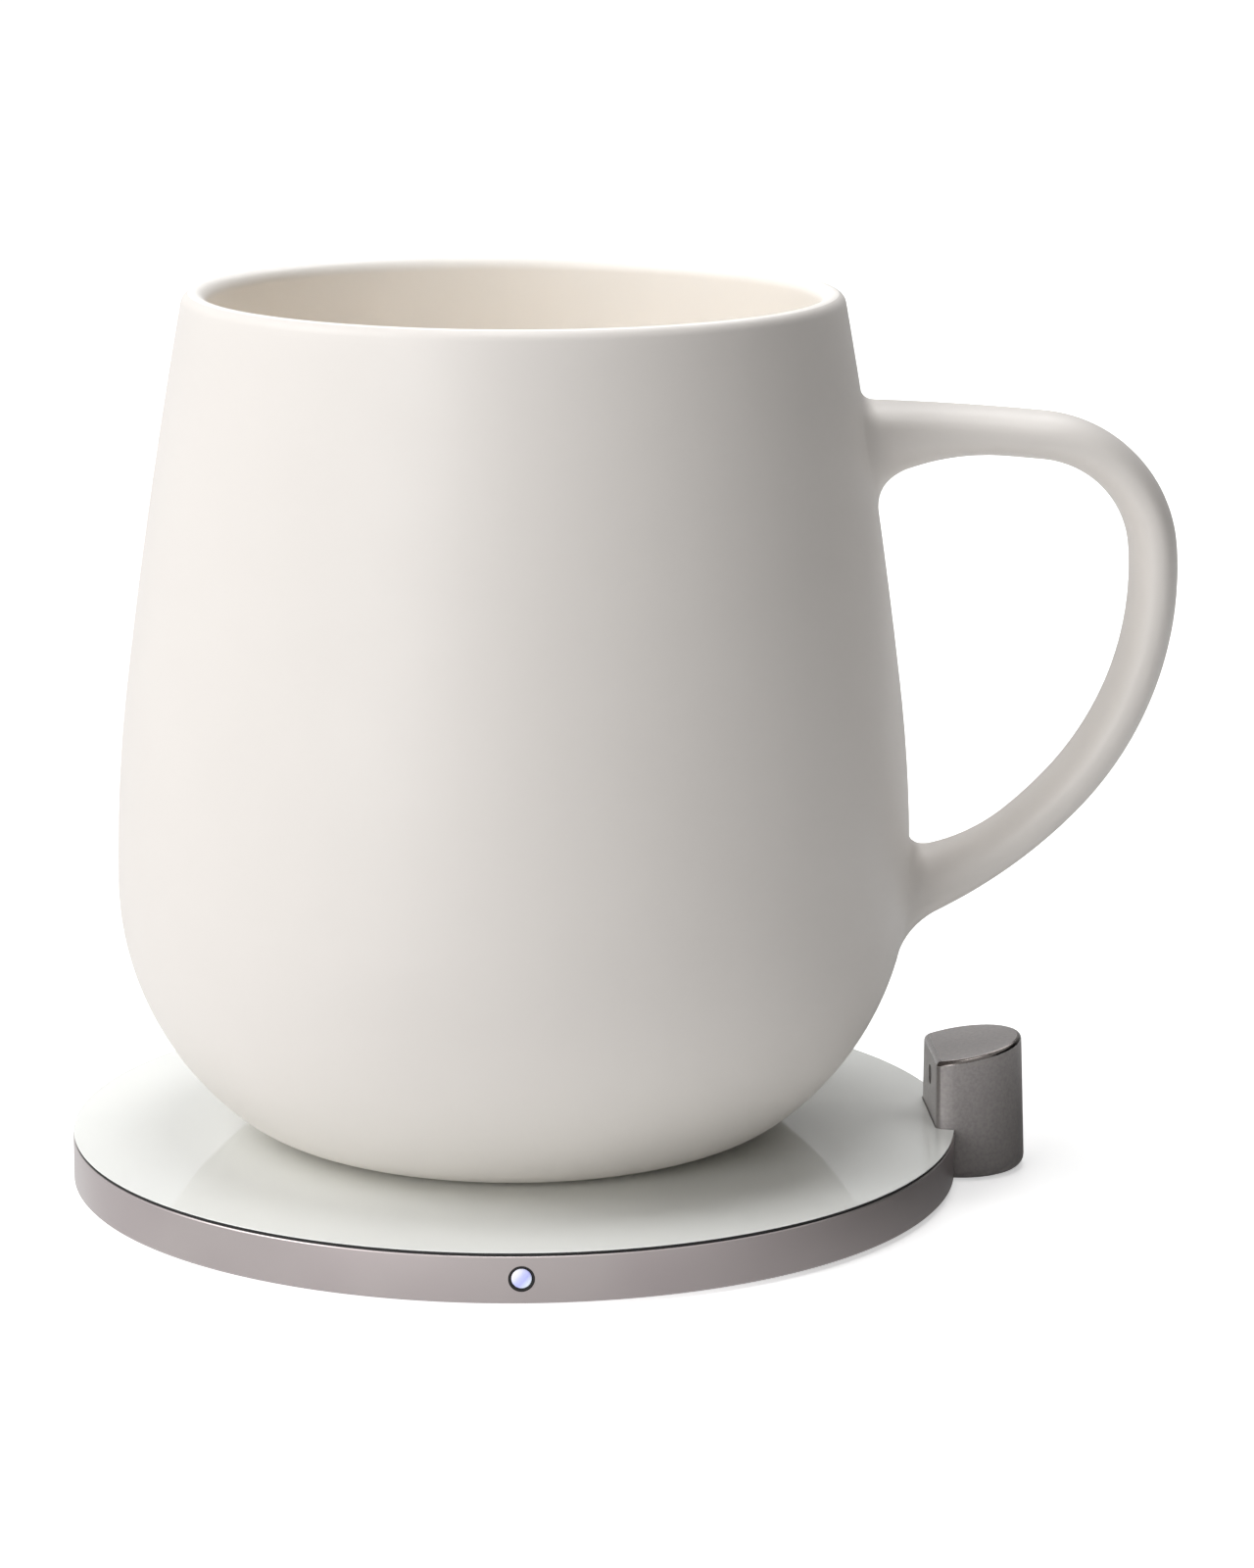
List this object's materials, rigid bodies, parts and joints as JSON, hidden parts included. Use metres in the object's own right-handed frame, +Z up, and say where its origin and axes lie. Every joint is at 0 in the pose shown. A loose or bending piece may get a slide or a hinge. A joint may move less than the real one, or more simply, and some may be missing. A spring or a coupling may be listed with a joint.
{
  "type": "self-heating mug with warming pad",
  "caption": "Self-heating ceramic mug with a loop handle, standing on a thin round warming pad with a glass top, a lit push button and a small upright sensor post.",
  "frame": {"origin": "middle of the pad's underside, on the table", "axes": "+Z up along the mug's axis, +X towards the mug's handle and the sensor post, -Y towards the lit button, +Y towards the power socket"},
  "size_m": [0.1239, 0.1, 0.1004],
  "materials": {
    "rim_metal": "satin anodised",
    "glass_white": "polished, white-backed",
    "gasket_black": "matte",
    "base_plastic": "fine texture",
    "mat_rubber": "matte",
    "screw_steel": "bright",
    "board_green": "solder mask",
    "chip_black": "moulded",
    "capacitor_tan": "satin",
    "carrier_film": "film",
    "ferrite": "matte",
    "copper_wire": "enamelled",
    "pad_gel": "soft",
    "thermistor_dark": "dipped",
    "led_white": "moulded",
    "switch_black": "moulded",
    "seal_black": "matte",
    "button_frost": "frosted",
    "plunger_grey": "moulded",
    "socket_shell": "tinned",
    "socket_black": "moulded",
    "tower_paint": "satin",
    "window_dark": "polished",
    "sensor_can": "bright",
    "ribbon_amber": "film",
    "mug_ceramic": "satin glaze",
    "foot_silicone": "matte",
    "cover_plastic": "fine texture",
    "insulation_felt": "felted",
    "heater_film": "film",
    "cutout_can": "bright"
  },
  "bodies": {
    "pad": {"pad_housing": "rim_metal", "glass_top": "glass_white", "glass_gasket": "gasket_black", "base_plate": "base_plastic", "rubber_mat": "mat_rubber", "base_screws": "screw_steel", "control_board": "board_green", "controller_chip": "chip_black", "power_transistors": "chip_black", "resonant_capacitors": "capacitor_tan", "coil_carrier": "carrier_film", "ferrite_shield": "ferrite", "transmitter_coil": "copper_wire", "thermal_pad": "pad_gel", "pad_thermistor": "thermistor_dark", "status_leds": "led_white", "button_switch": "switch_black", "button_seal": "seal_black", "power_socket": "socket_shell", "socket_tongue": "socket_black", "tower_shell": "tower_paint", "sensor_window": "window_dark", "infrared_sensor": "sensor_can", "tower_board": "board_green", "board_ribbon": "ribbon_amber", "tower_screws": "screw_steel"},
    "button": {"button_cap": "button_frost", "switch_plunger": "plunger_grey"},
    "mug": {"mug_body": "mug_ceramic", "mug_handle": "mug_ceramic", "mug_foot": "foot_silicone", "base_cover": "cover_plastic", "cover_seal": "foot_silicone", "receiver_coil": "copper_wire", "receiver_ferrite": "ferrite", "insulation_disc": "insulation_felt", "heating_disc": "heater_film", "thermal_cutout": "cutout_can"}
  },
  "joints": [
    {"name": "mug_lift", "type": "slide", "parent": "pad", "child": "mug", "axis": [0, 0, 1], "range_m": [0, 0.12]},
    {"name": "button_press", "type": "slide", "parent": "pad", "child": "button", "axis": [0, 1, 0], "range_m": [0, 0.00035], "stiffness_N_per_m": 600, "springref_m": -0.0002}
  ]
}
